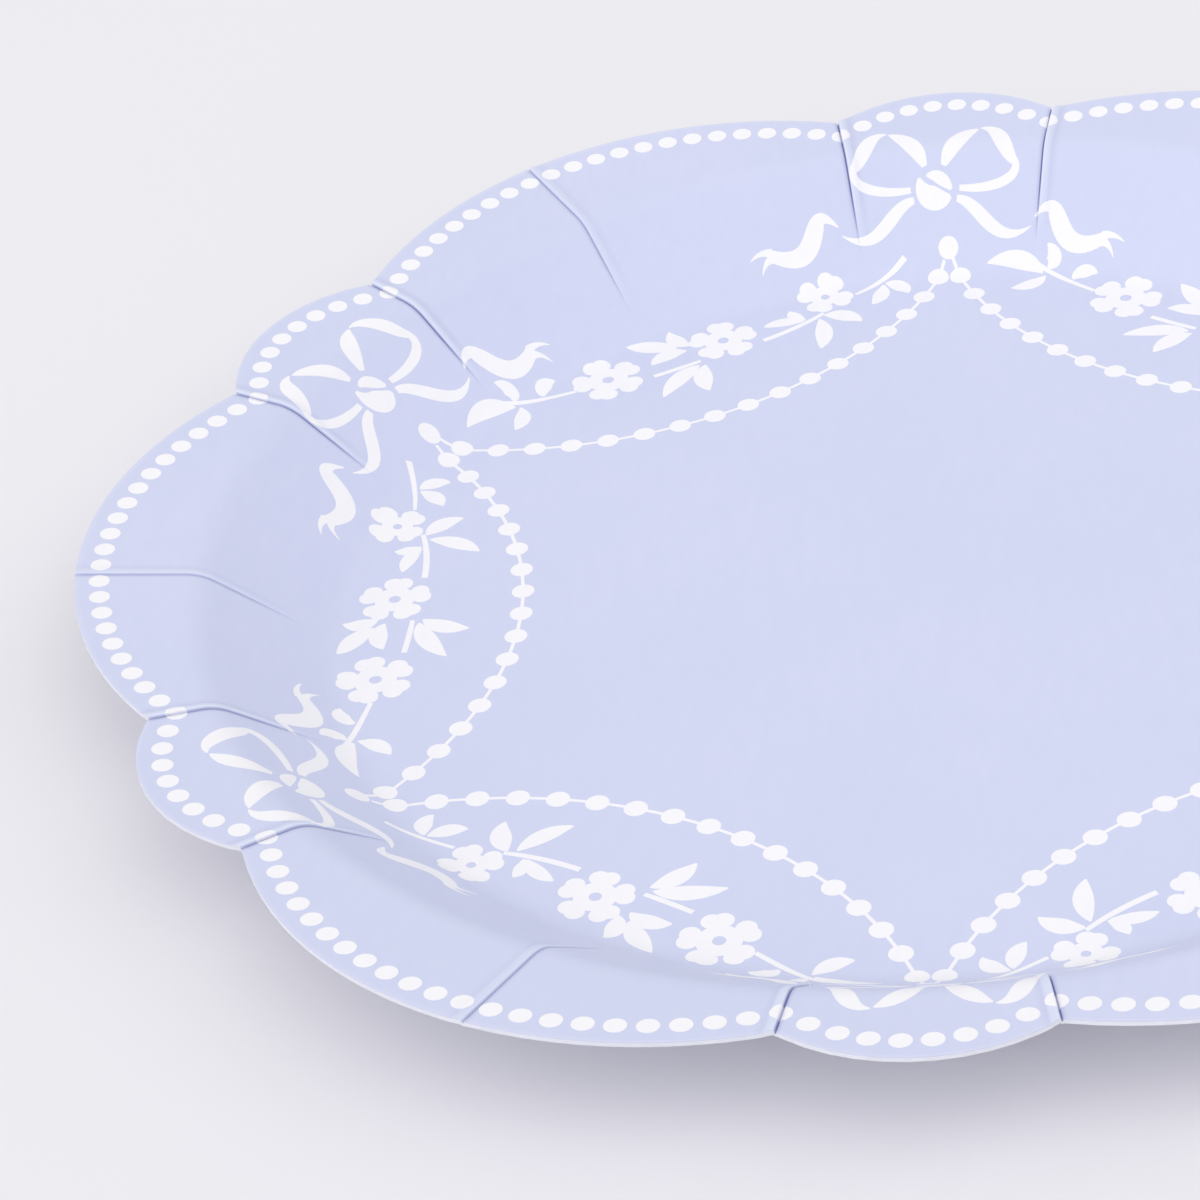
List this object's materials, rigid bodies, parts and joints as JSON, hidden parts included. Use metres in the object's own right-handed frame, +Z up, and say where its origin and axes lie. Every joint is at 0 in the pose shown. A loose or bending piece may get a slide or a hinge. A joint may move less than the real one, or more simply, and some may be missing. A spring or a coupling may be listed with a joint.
{
  "type": "side plate",
  "caption": "Round scalloped side plate of pressed paperboard with a flat floor, a sloping wall and a wide lip, faced in lilac and printed in white.",
  "frame": {"origin": "middle of the flat underside that the plate rests on", "axes": "+Z up through the middle of the plate, +X through the middle of a wide lobe, +Y through the middle of a narrow lobe that carries a bow"},
  "size_m": [0.21, 0.2038, 0.014],
  "materials": {
    "board": "matt white pulp board",
    "face": "satin coated lilac paper",
    "ink": "satin white print"
  },
  "bodies": {
    "root": {"base_board": "board", "face_sheet": "face", "pearl_border": "ink", "pearl_swag_1": "ink", "pearl_swag_2": "ink", "pearl_swag_3": "ink", "pearl_swag_4": "ink", "pearl_swag_5": "ink", "pearl_swag_6": "ink", "ribbon_bow_1": "ink", "ribbon_bow_2": "ink", "ribbon_bow_3": "ink", "ribbon_bow_4": "ink", "ribbon_bow_5": "ink", "ribbon_bow_6": "ink", "flower_garland_1": "ink", "flower_garland_2": "ink", "flower_garland_3": "ink", "flower_garland_4": "ink", "flower_garland_5": "ink", "flower_garland_6": "ink"}
  },
  "joints": []
}
